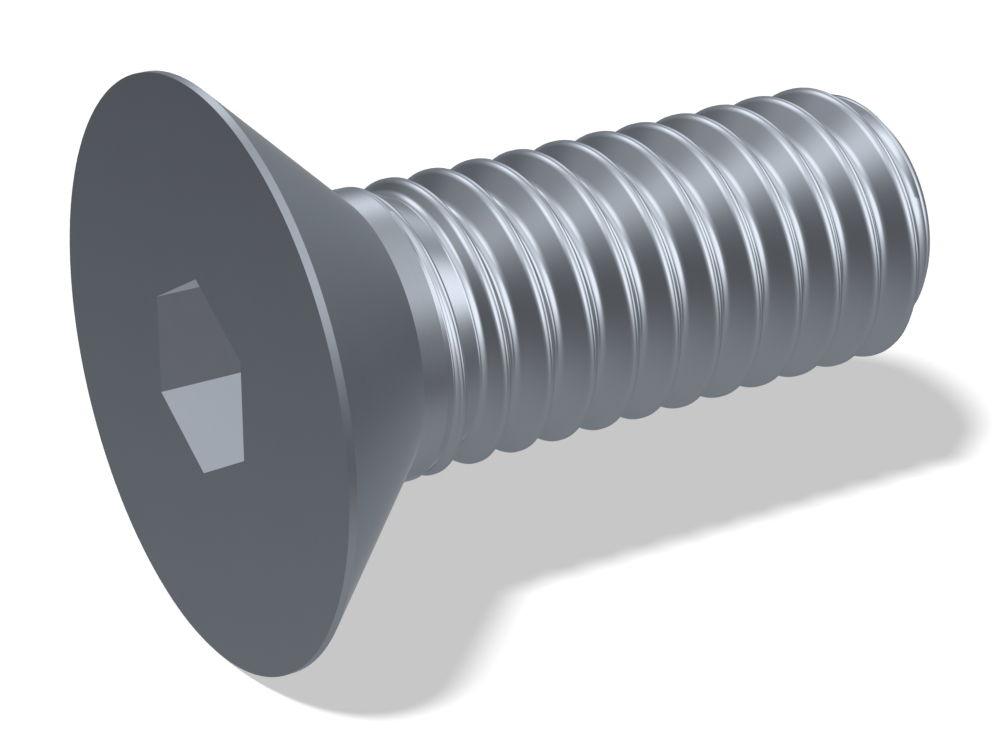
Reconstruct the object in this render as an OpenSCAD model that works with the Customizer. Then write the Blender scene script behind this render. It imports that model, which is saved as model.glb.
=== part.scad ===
// Countersunk socket screw, M6 x 16, in millimetres.
// It stands on the flat face of its head. The origin is the middle of that face,
// and +Z runs along the shank to the tip.

/* [Head] */
// Diameter of the flat face
head_d = 12; // [11:0.1:12.5]
// Height from the flat face to the shank
head_h = 3.3; // [3:0.1:4]
// Height of the straight rim around the flat face
rim_h = 0.17; // [0.1:0.01:0.5]

/* [Socket] */
// Width of the hexagon across its flats, 4 for the usual key
socket_af = 3.6; // [3:0.1:4.4]
// Depth of the hexagon, without the drill point under it
socket_depth = 2.5; // [1.5:0.1:2.6]
// Full angle of the drill point
drill_angle = 120; // [100:5:150]

/* [Shank] */
// Outer diameter of the thread and of the plain neck
thread_d = 6; // [5.8:0.05:6.2]
// Length of the whole screw, head included
screw_length = 16; // [10:1:30]
// Length of the plain neck between the head and the thread
neck_length = 0.53; // [0.4:0.01:2]
// Angle to the axis of the tapered core that leads from the neck into the thread
run_in_angle = 23; // [15:1:30]
// Diameter of the flat end, inside its chamfer
tip_d = 4.75; // [4.5:0.05:5]

/* [Thread] */
// Distance from one turn to the next
pitch = 1; // [0.8:0.05:1.1]
// Angle between the two flanks
flank_angle = 60; // [55:1:60]
// Width of the crest from flank to flank, before its edges are broken
crest_width = 0.125; // [0.1:0.005:0.15]
// Size of the 45 degree bevel that breaks each edge of the crest
crest_bevel = 0.05; // [0.02:0.01:0.08]
// Radius of the rounded root, which touches both flanks
root_radius = 0.144; // [0.12:0.001:0.15]
// Direction, from a corner of the hexagon, in which the groove's middle is level with the neck's end
groove_angle = 83; // [0:1:359]

/* [Hidden] */
steel = [0.52, 0.56, 0.62];

// How far a cut reaches past the surface it starts from, and the facets of round forms
cut = 0.02;
round_facets = 96;

head_r = head_d / 2;
thread_r = thread_d / 2;
tip_r = tip_d / 2;
chamfer_h = thread_r - tip_r;

neck_z = head_h + neck_length;

// The hexagon's corner radius, and the height of the drill point under it
hexagon_sides = 6;
socket_r = socket_af / 2 / cos(180 / hexagon_sides);
drill_h = socket_af / 2 / tan(drill_angle / 2);

// The groove's V at the crest is this much to each side, and its flanks meet at this depth
half_flank = flank_angle / 2;
mouth_half = (pitch - crest_width) / 2;
apex_depth = mouth_half / tan(half_flank);

// The root's circle touches both flanks, and its lowest point is the depth of the thread
root_centre = apex_depth - root_radius / sin(half_flank);
thread_depth = root_centre + root_radius;

// The groove is one section carried along a helix in equal steps. It starts inside the
// head, where nothing is cut, and ends past the tip
steps_per_turn = 36;
root_steps = 3;
steps_before_neck = 27;
groove_turns = (screw_length - neck_z) / pitch + 1;
groove_steps = steps_before_neck + ceil(groove_turns * steps_per_turn);

// The uncut core has the neck's width down to the end of the neck. There its taper
// passes through the surface, and it ends deeper than the root of the thread
core_r = thread_r + 2 * cut;
taper_start_z = neck_z - 2 * cut / tan(run_in_angle);
taper_end_r = thread_r - thread_depth - cut;
taper_end_z = neck_z + (thread_depth + cut) / tan(run_in_angle);

// Half the width of the groove at a depth below the crest, wider where the bevel is
function half_width(depth) =
    mouth_half - max(depth, crest_bevel) * tan(half_flank) + max(0, crest_bevel - depth);

// The rounded root from one flank to the other, as [depth, distance from the middle]
root_arc = [
    for (i = [0 : root_steps])
        let (a = (90 - half_flank) * (2 * i / root_steps - 1))
            [root_centre + root_radius * cos(a), root_radius * sin(a)]
];

// The section as [depth, distance], from one side to the other
function wall(depth, side) = [depth, side * half_width(depth)];
groove_section = concat(
    [wall(-cut, -1), wall(crest_bevel, -1)],
    root_arc,
    [wall(crest_bevel, 1), wall(-cut, 1)]
);
section_points = len(groove_section);

// One corner of the section in its place on the helix
function on_helix(step, corner) =
    let (
        turns = (step - steps_before_neck) / steps_per_turn,
        a = groove_angle + 360 * turns,
        r = thread_r - corner[0],
        z = neck_z + pitch * turns + corner[1]
    )
    [r * cos(a), r * sin(a), z];

module head() {
    rotate_extrude($fn = round_facets)
        polygon([
            [0, 0],
            [head_r, 0],
            [head_r, rim_h],
            [thread_r, head_h],
            [0, head_h]
        ]);
}

module shank() {
    rotate_extrude($fn = round_facets)
        polygon([
            [0, rim_h],
            [thread_r, rim_h],
            [thread_r, screw_length - chamfer_h],
            [tip_r, screw_length],
            [0, screw_length]
        ]);
}

module core() {
    rotate_extrude($fn = round_facets)
        polygon([
            [0, 0],
            [core_r, 0],
            [core_r, taper_start_z],
            [taper_end_r, taper_end_z],
            [0, taper_end_z]
        ]);
}

module groove() {
    points = [
        for (i = [0 : groove_steps])
            for (corner = groove_section)
                on_helix(i, corner)
    ];
    sides = [
        for (i = [0 : groove_steps - 1])
            for (j = [0 : section_points - 1])
                let (
                    a = i * section_points + j,
                    b = i * section_points + (j + 1) % section_points,
                    c = b + section_points,
                    d = a + section_points
                )
                each [[a, c, b], [a, d, c]]
    ];
    first = [for (j = [0 : section_points - 1]) j];
    last = [for (j = [section_points - 1 : -1 : 0]) groove_steps * section_points + j];
    polyhedron(points = points, faces = concat(sides, [first, last]), convexity = 10);
}

module socket() {
    translate([0, 0, -cut])
        cylinder(r = socket_r, h = socket_depth + cut, $fn = hexagon_sides);
    translate([0, 0, socket_depth])
        cylinder(r1 = socket_af / 2, r2 = 0, h = drill_h, $fn = round_facets);
}

module screw() {
    color(steel)
        difference() {
            union() {
                head();
                shank();
            }
            difference() {
                groove();
                core();
            }
            socket();
        }
}

screw();
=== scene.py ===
# The looks of a countersunk socket screw, M6 x 16. It stands on the flat face of its head,
# with +Z along the shank. The camera looks at that face from the side and from below, as the
# photograph does, so the floor is seen from above only.

import math

import bmesh
import bpy
import numpy as np
from mathutils import Matrix, Vector


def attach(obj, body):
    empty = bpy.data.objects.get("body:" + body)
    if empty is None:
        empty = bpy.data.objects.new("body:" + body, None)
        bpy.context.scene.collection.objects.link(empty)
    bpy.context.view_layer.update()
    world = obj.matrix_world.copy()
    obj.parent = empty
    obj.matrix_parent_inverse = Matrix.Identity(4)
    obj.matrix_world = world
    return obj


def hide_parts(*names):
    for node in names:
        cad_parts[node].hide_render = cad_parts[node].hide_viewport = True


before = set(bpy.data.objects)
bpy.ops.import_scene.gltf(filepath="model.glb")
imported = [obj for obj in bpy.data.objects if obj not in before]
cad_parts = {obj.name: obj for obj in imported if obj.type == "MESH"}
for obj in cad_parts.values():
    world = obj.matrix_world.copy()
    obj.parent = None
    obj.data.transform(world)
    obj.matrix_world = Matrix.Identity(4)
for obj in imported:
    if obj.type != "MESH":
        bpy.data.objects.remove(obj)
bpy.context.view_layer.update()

MM = 0.001

# The real sizes of the screw, in millimetres and degrees, as in the part's source
HEAD_R = 6.0
HEAD_H = 3.3
RIM_H = 0.17
SOCKET_AF = 3.6
SOCKET_DEPTH = 2.5
DRILL_ANGLE = 120
THREAD_R = 3.0
LENGTH = 16.0
TIP_R = 2.375
NECK_LENGTH = 0.53
RUN_IN_ANGLE = 23
PITCH = 1.0
FLANK_ANGLE = 60
CREST_WIDTH = 0.125
CREST_RADIUS = 0.05
ROOT_RADIUS = 0.144
GROOVE_ANGLE = 83

# The photograph's camera, in millimetres, and the side of the screw where its ground lies
CAMERA_LENS = 118.44
CAMERA_SENSOR = 36
CAMERA_AT = (58.973, 2.743, -25.016)
CAMERA_AIM = (-0.029, 1.402, 6.406)
CAMERA_NEAR = 1
CAMERA_FAR = 1000
GROUND_AZIMUTH = 120

# The sun that throws the shadow onto that ground, and one that throws it onto the floor. Their
# blur is the width of the sun's disc in degrees
KEY_SUN = {"azimuth": 318, "elevation": -27.5, "strength": 2.3, "blur": 7}
TOP_SUN = {"azimuth": 120, "elevation": 68, "strength": 2.0, "blur": 10}

# The paper of the floor and the ground, and the light that it keeps in the shadow. The floor
# lies a little under the face of the head, so that the two are never at one height
STAGE_SIZE = 400
FLOOR_GAP = 0.02
PAPER_COLOUR = (0.8, 0.8, 0.8)
SHADOW_GREY = 0.571
WHITE = (1, 1, 1, 1)

# Soft lights and dark panels around the screw, named roughly as the camera sees them: azimuth
# and elevation in degrees, width of the glow in degrees, and brightness, below zero where it is
# dark. The values come from a fit to the shades of the steel in the photograph
STUDIO = {
    "front": (17, 8, 30, 0.92),
    "front_dark": (23, 22, 28, -0.83),
    "front_left": (7, -38, 23, 0.82),
    "top": (308, -12, 40, 0.41),
    "top_left": (290, -58, 15, 0.75),
    "top_left_back": (253, -21, 14, 0.80),
    "top_right_back": (247, 36, 17, 0.57),
    "top_right": (310, 54, 12, 1.51),
    "front_right": (341, 54, 14, 3.09),
    "low_right": (31, 46, 16, 0.73),
    "right": (297, 88, 18, 0.50),
    "right_dark": (43, 85, 22, -0.35),
    "back_right_dark": (179, 68, 15, -0.09),
    "back_left_dark": (202, -31, 23, -0.16),
    "left_dark": (65, -79, 31, -0.13),
}

# The grey between the lights, and the darkest and the lightest shade that the steel shows
STUDIO_GREY = 0.20
STUDIO_BLACK = 0.01
STUDIO_WHITE = 0.87

# The steel: its colour, its tint at grazing angles, and its roughness from the clearest patches
# to the dullest. Its marks and clouds are two noises, whose sum runs over NOISE_RANGE
STEEL_COLOUR = (0.527, 0.575, 0.645)
STEEL_EDGE_TINT = (0.70, 0.74, 0.79)
STEEL_ROUGHNESS = (0.10, 0.14)
SHADE_SPREAD = 0.015
MARKS_PER_MM = 6
CLOUDS_PER_MM = 0.5
NOISE_RANGE = (0.6, 1.4)

# Values worked out from those above
NECK_Z = HEAD_H + NECK_LENGTH
CHAMFER_Z = LENGTH - (THREAD_R - TIP_R)
DRILL_H = SOCKET_AF / 2 / math.tan(math.radians(DRILL_ANGLE / 2))
STEEL_GREY = STEEL_COLOUR[1]

# The mesh is made of columns, each a line up the surface at one angle around the axis. They
# pass grooves before the neck's end and past the tip too, whose points are moved onto those ends
COLUMNS = 180
HEXAGON_SIDES = 6
SPARE_GROOVES = 2

# Steps over a rounded edge of the crest and over half of the rounded root, and the depths of the
# points on a flank
CREST_STEPS = 1
ROOT_STEPS = 2
FLANK_DEPTHS = (0.467, 0.375, 0.283, 0.192, 0.1)

# Where the tapered core fills the groove, its floor has a point after its start and one before
# its far edge, and the flank one past that edge. A short floor is divided into equal parts, and
# the first two then lie one part from its ends
FLOOR_START = 0.02
FLOOR_START_PARTS = 4
FLOOR_EDGE = 0.1
FLOOR_EDGE_PARTS = 3
FLANK_EDGE = 0.08

# Rings of the head: the first one outside the socket's corners, and how many each surface has
FACE_START = 0.1
FACE_RINGS = 4
CONE_RINGS = 8
NECK_RINGS = 4

# A crease of the tip takes three marks from its number on: for the point before it, its own
# point and the one after it. The two beside it lie this far away and make the edge soft
CHAMFER_CREASE = 1
GROOVE_CREASE = 4
SOFT_EDGE = 0.03

# Points closer than WELD become one. A point of the shank that lies closer than SMALLEST_STEP
# to the tip's end moves onto it
WELD = 0.0002
SMALLEST_STEP = 0.02
SHARP_ANGLE = 35

# Halvings that find a crossing, and what lifts the shank's surface off the crests that lie on it
HALVINGS = 30
SURFACE_LIFT = 1e-9


class Thread:
    """The section of the thread: its depth below the crest, and the places that its points need."""

    def __init__(self):
        self.half_flank = math.radians(FLANK_ANGLE / 2)
        self.slope = math.tan(self.half_flank)
        self.mouth = (PITCH - CREST_WIDTH) / 2
        apex = self.mouth / self.slope
        self.root_centre = apex - ROOT_RADIUS / math.sin(self.half_flank)
        # Both roundings turn by this angle, from the flat crest or the lowest point to the flank
        self.turn = math.pi / 2 - self.half_flank
        self.crest_flat = self.mouth + CREST_RADIUS * math.tan(self.turn / 2)
        self.crest_end = self.crest_flat - CREST_RADIUS * math.sin(self.turn)
        self.root_end = ROOT_RADIUS * math.cos(self.half_flank)

    def depth(self, u):
        """Depth at a distance u along the axis from the middle of a groove."""
        u = np.abs(u)
        flank = (self.mouth - u) / self.slope
        root = self.root_centre + np.sqrt(np.maximum(ROOT_RADIUS**2 - u**2, 0))
        crest = CREST_RADIUS - np.sqrt(np.maximum(CREST_RADIUS**2 - (self.crest_flat - u) ** 2, 0))
        return np.where(
            u < self.root_end,
            root,
            np.where(u < self.crest_end, flank, np.where(u < self.crest_flat, crest, 0.0)),
        )

    def places(self):
        """Distances of the section's points from a groove's middle, up to the crest's flat."""
        root = ROOT_RADIUS * np.sin(np.linspace(0, self.turn, ROOT_STEPS + 1))
        flank = self.mouth - np.array(FLANK_DEPTHS) * self.slope
        crest_turns = np.linspace(self.turn, 0, CREST_STEPS + 1)
        crest = self.crest_flat - CREST_RADIUS * np.sin(crest_turns)
        return np.concatenate([root, flank, crest])


thread = Thread()


def body_radius(z):
    """Radius of the shank without its groove: the crest's cylinder and the chamfer."""
    return np.minimum(THREAD_R, THREAD_R - (z - CHAMFER_Z))


def core_radius(z):
    """Radius of the tapered core that leads from the neck into the thread."""
    return THREAD_R - (z - NECK_Z) * math.tan(math.radians(RUN_IN_ANGLE))


def groove_radius(angle, z):
    """Radius of the full thread at one angle, in degrees, for heights z."""
    along = (z - NECK_Z) / PITCH - (angle - GROOVE_ANGLE) / 360
    return THREAD_R - thread.depth((along - np.round(along)) * PITCH)


def thread_radius(angle, z):
    """Radius of the thread at one angle, where the tapered core fills part of its groove."""
    return np.maximum(groove_radius(angle, z), core_radius(z))


def meets_core(angle, outer, middle):
    """Heights from outer toward the groove's middle where its side goes into the tapered core."""
    for _ in range(HALVINGS):
        between = (outer + middle) / 2
        inside = groove_radius(angle, between) < core_radius(between)
        outer, middle = np.where(inside, outer, between), np.where(inside, between, middle)
    return outer


def column_rows(angle, places, turns):
    """Heights of a column's points, groove by groove: its near side, its floor and its far side.
    A groove that the tapered core doesn't reach has all its floor's points at its middle."""
    middle = (NECK_Z + PITCH * ((angle - GROOVE_ANGLE) / 360 + turns))[:, None]
    shallow = groove_radius(angle, middle) < core_radius(middle)
    neck_side = np.clip(NECK_Z + WELD / 2, middle - PITCH / 2, middle)
    low = np.where(shallow, meets_core(angle, neck_side, middle), middle)
    high = np.where(shallow, meets_core(angle, middle + PITCH / 2, middle), middle)
    high = np.maximum(high, low)
    base = np.clip(NECK_Z, low, high)
    start = base + np.minimum(FLOOR_START, (high - base) / FLOOR_START_PARTS)
    edge = high - np.minimum(FLOOR_EDGE, (high - base) / FLOOR_EDGE_PARTS)
    flank = np.minimum(high + FLANK_EDGE, middle + thread.crest_end)
    flank = np.where(shallow, np.maximum(high, np.minimum(flank, 2 * high - middle)), middle)
    near = np.minimum(middle - places[:0:-1], low - np.where(shallow, SOFT_EDGE, 0))
    far = np.maximum(middle + np.append(places[1:], PITCH / 2), flank)
    return np.hstack([near, low, start, edge, high, flank, far]).ravel()


def crossing(function, start, end):
    """Place between start and end where a function of the height changes its sign."""
    first = function(start)
    for _ in range(HALVINGS):
        middle = (start + end) / 2
        if function(middle) * first > 0:
            start = middle
        else:
            end = middle
    return start


def snap(angle, z, mark):
    """Moves points of a column onto each crease of the tip that it crosses, with one point close
    before and one close after it, and notes their marks."""
    z[z < NECK_Z] = NECK_Z
    z[z > LENGTH - SMALLEST_STEP] = LENGTH

    def onto(crease, function):
        value = function(z)
        for k in np.nonzero(value[:-1] * value[1:] < 0)[0]:
            place = crossing(function, z[k], z[k + 1])
            near = k if place - z[k] < z[k + 1] - place else k + 1
            beside = slice(near - 1, near + 2)
            if mark[beside].any() or not NECK_Z < z[near] < LENGTH:
                continue
            z[near] = place
            z[near - 1] = max(place - SOFT_EDGE, (place + z[near - 2]) / 2)
            z[near + 1] = min(place + SOFT_EDGE, (place + z[near + 2]) / 2)
            mark[beside] = crease, crease + 1, crease + 2

    onto(CHAMFER_CREASE, lambda x: x - CHAMFER_Z)
    onto(GROOVE_CREASE, lambda x: body_radius(x) - thread_radius(angle, x) + SURFACE_LIFT)


def shank_columns():
    """Heights, radii and marks of the threaded shank, one row of the arrays for each column, and
    how many points a column has for each pitch."""
    places = thread.places()
    last_turn = math.ceil((LENGTH - NECK_Z) / PITCH) + SPARE_GROOVES
    turns = np.arange(-SPARE_GROOVES, last_turn)
    heights, radii, marks = [], [], []
    for i in range(COLUMNS):
        angle = 360 * i / COLUMNS
        # The rows climb one pitch a turn from angle 0, so the seam joins rows one pitch apart
        rows = column_rows(angle, places, turns)
        mark = np.zeros(len(rows), int)
        snap(angle, rows, mark)
        heights.append(rows)
        radii.append(np.minimum(body_radius(rows), thread_radius(angle, rows)))
        marks.append(mark)
    per_pitch = len(rows) // len(turns)
    return np.array(heights), np.array(radii), np.array(marks), per_pitch


def hexagon_radius(angle, across_flats):
    """Distance from the axis to a hexagon's side, for a hexagon with a corner at angle 0."""
    sector = 360 / HEXAGON_SIDES
    return across_flats / 2 / math.cos(math.radians(angle % sector - sector / 2))


def head_column(angle):
    """The line from the bottom of the socket over the face and the cone to the end of the neck."""
    wall = hexagon_radius(angle, SOCKET_AF)
    corner = hexagon_radius(0, SOCKET_AF)
    points = [(0, SOCKET_DEPTH + DRILL_H), (SOCKET_AF / 2, SOCKET_DEPTH)]
    points += [(wall, SOCKET_DEPTH), (wall, 0)]
    points += [(r, 0) for r in np.linspace(corner + FACE_START, HEAD_R, FACE_RINGS)]
    points += [
        (HEAD_R + (THREAD_R - HEAD_R) * t, RIM_H + (HEAD_H - RIM_H) * t)
        for t in np.linspace(0, 1, CONE_RINGS + 1)
    ]
    points += [(THREAD_R, HEAD_H + NECK_LENGTH * t) for t in np.linspace(0, 1, NECK_RINGS + 1)[1:]]
    return points


def whole_columns(heights, radii, shank_marks):
    """Points of each column from the socket's bottom to the middle of the tip, and their marks."""
    points, marks = [], []
    for i in range(COLUMNS):
        angle = 360 * i / COLUMNS
        head = np.array(head_column(angle))
        shank = np.stack([radii[i], heights[i]], axis=1)
        line = np.vstack([head, shank, [(0, LENGTH)]])
        turn = math.radians(angle)
        x, y = line[:, 0] * math.cos(turn), line[:, 0] * math.sin(turn)
        points.append(np.stack([x, y, line[:, 1]], axis=1))
        marks.append(np.concatenate([np.zeros(len(head), int), shank_marks[i], [0]]))
    return np.array(points), np.array(marks)


def faces_between(i, marks, shank_start, per_pitch):
    """Faces from column i to the next one. A face that a crease crosses is split along it."""
    j = (i + 1) % COLUMNS
    shift = per_pitch if j == 0 else 0
    height = marks.shape[1]
    tip_middle = height - 1
    faces = []
    for a in range(tip_middle):
        b = a + 1
        on_shank = a >= shank_start and b < tip_middle
        c, d = (b + shift, a + shift) if on_shank else (b, a)
        if on_shank and c >= tip_middle:
            continue
        quad = [i * height + a, j * height + d, j * height + c, i * height + b]
        if marks[i, a] and marks[i, a] == marks[j, c]:
            faces += [quad[:3], [quad[0], quad[2], quad[3]]]
        elif marks[i, b] and marks[i, b] == marks[j, d]:
            faces += [[quad[0], quad[1], quad[3]], quad[1:]]
        else:
            faces.append(quad)
    return faces


def close_up(mesh):
    """Welds points that lie on one another, and turns the faces outwards."""
    work = bmesh.new()
    work.from_mesh(mesh)
    bmesh.ops.remove_doubles(work, verts=work.verts, dist=WELD * MM)
    bmesh.ops.dissolve_degenerate(work, edges=work.edges, dist=WELD * MM)
    bmesh.ops.recalc_face_normals(work, faces=work.faces)
    for face in work.faces:
        face.smooth = True
    work.to_mesh(mesh)
    work.free()


def set_sharp_edges(mesh):
    """Sharp edges by their angle. The thread and the chamfer have none, but the neck's end has."""
    mesh.set_sharp_from_angle(angle=math.radians(SHARP_ANGLE))
    sharp = mesh.attributes["sharp_edge"].data
    for edge in mesh.edges:
        low, high = sorted(mesh.vertices[v].co.z / MM for v in edge.vertices)
        if NECK_Z - SMALLEST_STEP < low and low < LENGTH - SMALLEST_STEP:
            sharp[edge.index].value = high < NECK_Z + WELD


def screw_mesh():
    """The whole screw as one closed mesh, in metres."""
    heights, radii, shank_marks, per_pitch = shank_columns()
    points, marks = whole_columns(heights, radii, shank_marks)
    shank_start = marks.shape[1] - 1 - heights.shape[1]
    faces = []
    for i in range(COLUMNS):
        faces += faces_between(i, marks, shank_start, per_pitch)
    mesh = bpy.data.meshes.new("screw")
    mesh.from_pydata((points.reshape(-1, 3) * MM).tolist(), [], faces)
    close_up(mesh)
    set_sharp_edges(mesh)
    return mesh


def add_screw():
    screw = bpy.data.objects.new("steel_screw", screw_mesh())
    bpy.context.scene.collection.objects.link(screw)
    return screw


def direction(azimuth):
    """Unit vector across the axis, at an angle in degrees around it from +X."""
    return Vector((math.cos(math.radians(azimuth)), math.sin(math.radians(azimuth)), 0))


def look_at(obj, place, aim, up):
    """Puts a camera or a light at place, looking at aim, with the direction up at its top."""
    back = (place - aim).normalized()
    right = up.cross(back).normalized()
    turn = Matrix((right, back.cross(right), back)).transposed()
    obj.matrix_world = Matrix.Translation(place) @ turn.to_4x4()


def add_camera():
    data = bpy.data.cameras.new("camera")
    data.lens = CAMERA_LENS
    data.sensor_width = CAMERA_SENSOR
    data.clip_start = CAMERA_NEAR * MM
    data.clip_end = CAMERA_FAR * MM
    camera = bpy.data.objects.new("camera", data)
    bpy.context.scene.collection.objects.link(camera)
    look_at(camera, Vector(CAMERA_AT) * MM, Vector(CAMERA_AIM) * MM, -direction(GROUND_AZIMUTH))
    bpy.context.scene.camera = camera


def new_nodes(tree):
    """Empties a node tree, and gives a function that adds a node with its inputs set or linked."""
    tree.nodes.clear()

    def add(kind, inputs=None, **settings):
        node = tree.nodes.new(kind)
        for name, value in settings.items():
            setattr(node, name, value)
        for name, value in (inputs or {}).items():
            if isinstance(value, bpy.types.NodeSocket):
                tree.links.new(value, node.inputs[name])
            else:
                node.inputs[name].default_value = value
        return node

    return add


def toward(azimuth, elevation):
    """Unit vector from the screw toward a light."""
    return direction(azimuth) * math.cos(math.radians(elevation)) + Vector(
        (0, 0, math.sin(math.radians(elevation)))
    )


def add_studio():
    """Soft lights and panels as a smooth surround, which only the steel's reflections see. The
    camera sees white behind the stage."""
    world = bpy.data.worlds.new("studio")
    bpy.context.scene.world = world
    world.use_nodes = True
    add = new_nodes(world.node_tree)
    ray = add("ShaderNodeTexCoord").outputs["Generated"]
    total = STUDIO_GREY
    for azimuth, elevation, width, brightness in STUDIO.values():
        narrow = 1 / (1 - math.cos(math.radians(width)))
        facing = add(
            "ShaderNodeVectorMath",
            {0: ray, 1: toward(azimuth, elevation)},
            operation="DOT_PRODUCT",
        ).outputs["Value"]
        fall = add(
            "ShaderNodeMath", {0: facing, 1: narrow, 2: -narrow}, operation="MULTIPLY_ADD"
        ).outputs[0]
        glow = add("ShaderNodeMath", {0: fall}, operation="EXPONENT").outputs[0]
        total = add(
            "ShaderNodeMath", {0: glow, 1: brightness, 2: total}, operation="MULTIPLY_ADD"
        ).outputs[0]
    shade = add(
        "ShaderNodeClamp", {"Value": total, "Min": STUDIO_BLACK, "Max": STUDIO_WHITE}
    ).outputs[0]
    # The shades are those of the steel, so the light is stronger by the steel's own grey
    light = add("ShaderNodeMath", {0: shade, 1: 1 / STEEL_GREY}, operation="MULTIPLY").outputs[0]
    lights = add("ShaderNodeBackground", {"Color": WHITE, "Strength": light}).outputs[0]
    white = add("ShaderNodeBackground", {"Color": WHITE, "Strength": 1.0}).outputs[0]
    seen = add("ShaderNodeLightPath").outputs["Is Camera Ray"]
    mixed = add("ShaderNodeMixShader", {0: seen, 1: lights, 2: white}).outputs[0]
    add("ShaderNodeOutputWorld", {"Surface": mixed})
    # The paper doesn't see the surround, which isn't sampled as a lamp either
    world.cycles_visibility.diffuse = False
    world.cycles.sampling_method = "NONE"


def add_sun(name, azimuth, elevation, strength, blur):
    """A sun that stands in a direction from the screw. The steel doesn't mirror it."""
    data = bpy.data.lights.new(name, "SUN")
    data.energy = strength
    data.angle = math.radians(blur)
    sun = bpy.data.objects.new(name, data)
    bpy.context.scene.collection.objects.link(sun)
    away = toward(azimuth, elevation)
    look_at(sun, away * STAGE_SIZE * MM, Vector((0, 0, 0)), direction(azimuth + 90))
    sun.visible_glossy = False


def stage_material():
    """White paper, seen from its front only. The screw's shadow takes the suns' share of its light
    and leaves its own."""
    material = bpy.data.materials.new("stage")
    material.use_nodes = True
    add = new_nodes(material.node_tree)
    lit = add("ShaderNodeBsdfDiffuse", {"Color": (*PAPER_COLOUR, 1)}).outputs[0]
    own = add("ShaderNodeEmission", {"Color": WHITE, "Strength": SHADOW_GREY}).outputs[0]
    paper = add("ShaderNodeAddShader", {0: lit, 1: own}).outputs[0]
    clear = add("ShaderNodeBsdfTransparent").outputs[0]
    behind = add("ShaderNodeNewGeometry").outputs["Backfacing"]
    surface = add("ShaderNodeMixShader", {0: behind, 1: paper, 2: clear}).outputs[0]
    add("ShaderNodeOutputMaterial", {"Surface": surface})
    return material


def add_plane(name, place, facing, material):
    """A square of stage that faces one way. Only the camera sees it."""
    mesh = bpy.data.meshes.new(name)
    half = STAGE_SIZE / 2 * MM
    corners = [(-half, -half, 0), (half, -half, 0), (half, half, 0), (-half, half, 0)]
    mesh.from_pydata(corners, [], [(0, 1, 2, 3)])
    mesh.materials.append(material)
    plane = bpy.data.objects.new(name, mesh)
    bpy.context.scene.collection.objects.link(plane)
    turn = facing.to_track_quat("Z", "Y").to_matrix()
    plane.matrix_world = Matrix.Translation(place) @ turn.to_4x4()
    plane.visible_diffuse = plane.visible_glossy = False
    plane.visible_transmission = plane.visible_shadow = False


def add_stage():
    """The floor, the ground that the photograph shows, the suns and the studio."""
    paper = stage_material()
    side = direction(GROUND_AZIMUTH)
    add_plane("floor", Vector((0, 0, -FLOOR_GAP)) * MM, Vector((0, 0, 1)), paper)
    add_plane("photo_ground", side * HEAD_R * MM, -side, paper)
    add_sun("key_sun", **KEY_SUN)
    add_sun("top_sun", **TOP_SUN)
    add_studio()


def steel():
    """Smooth steel with faint marks of turning, which ring the axis, and a slight mottling."""
    material = bpy.data.materials.new("steel")
    material.use_nodes = True
    add = new_nodes(material.node_tree)
    place = add("ShaderNodeTexCoord").outputs["Object"]
    across = add("ShaderNodeVectorMath", {0: place, 1: (1, 1, 0)}, operation="MULTIPLY").outputs[0]
    radius = add("ShaderNodeVectorMath", {0: across}, operation="LENGTH").outputs["Value"]
    height = add("ShaderNodeSeparateXYZ", {0: place}).outputs["Z"]
    ring = add("ShaderNodeCombineXYZ", {"X": radius, "Z": height}).outputs[0]
    marks = add("ShaderNodeTexNoise", {"Vector": ring, "Scale": MARKS_PER_MM / MM}).outputs[0]
    cloud = add("ShaderNodeTexNoise", {"Vector": place, "Scale": CLOUDS_PER_MM / MM}).outputs[0]
    mottling = add("ShaderNodeMath", {0: marks, 1: cloud}, operation="ADD").outputs[0]
    lowest, highest = NOISE_RANGE

    def spread(low, high):
        """The mottling, stretched so that it runs from low to high."""
        return add(
            "ShaderNodeMapRange",
            {
                "Value": mottling,
                "From Min": lowest,
                "From Max": highest,
                "To Min": low,
                "To Max": high,
            },
        ).outputs[0]

    colour = add(
        "ShaderNodeVectorMath",
        {0: STEEL_COLOUR, "Scale": spread(1 - SHADE_SPREAD, 1 + SHADE_SPREAD)},
        operation="SCALE",
    ).outputs[0]
    metal = add(
        "ShaderNodeBsdfPrincipled",
        {
            "Base Color": colour,
            "Metallic": 1.0,
            "Roughness": spread(*STEEL_ROUGHNESS),
            "Specular Tint": (*STEEL_EDGE_TINT, 1),
        },
    ).outputs[0]
    add("ShaderNodeOutputMaterial", {"Surface": metal})
    return material


screw = add_screw()
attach(screw, "root")
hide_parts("screw")
add_camera()
screw.data.materials.append(steel())
# The steel doesn't mirror itself, and throws no light on the paper
screw.visible_glossy = screw.visible_diffuse = False
add_stage()
bpy.context.scene.view_settings.view_transform = "Standard"
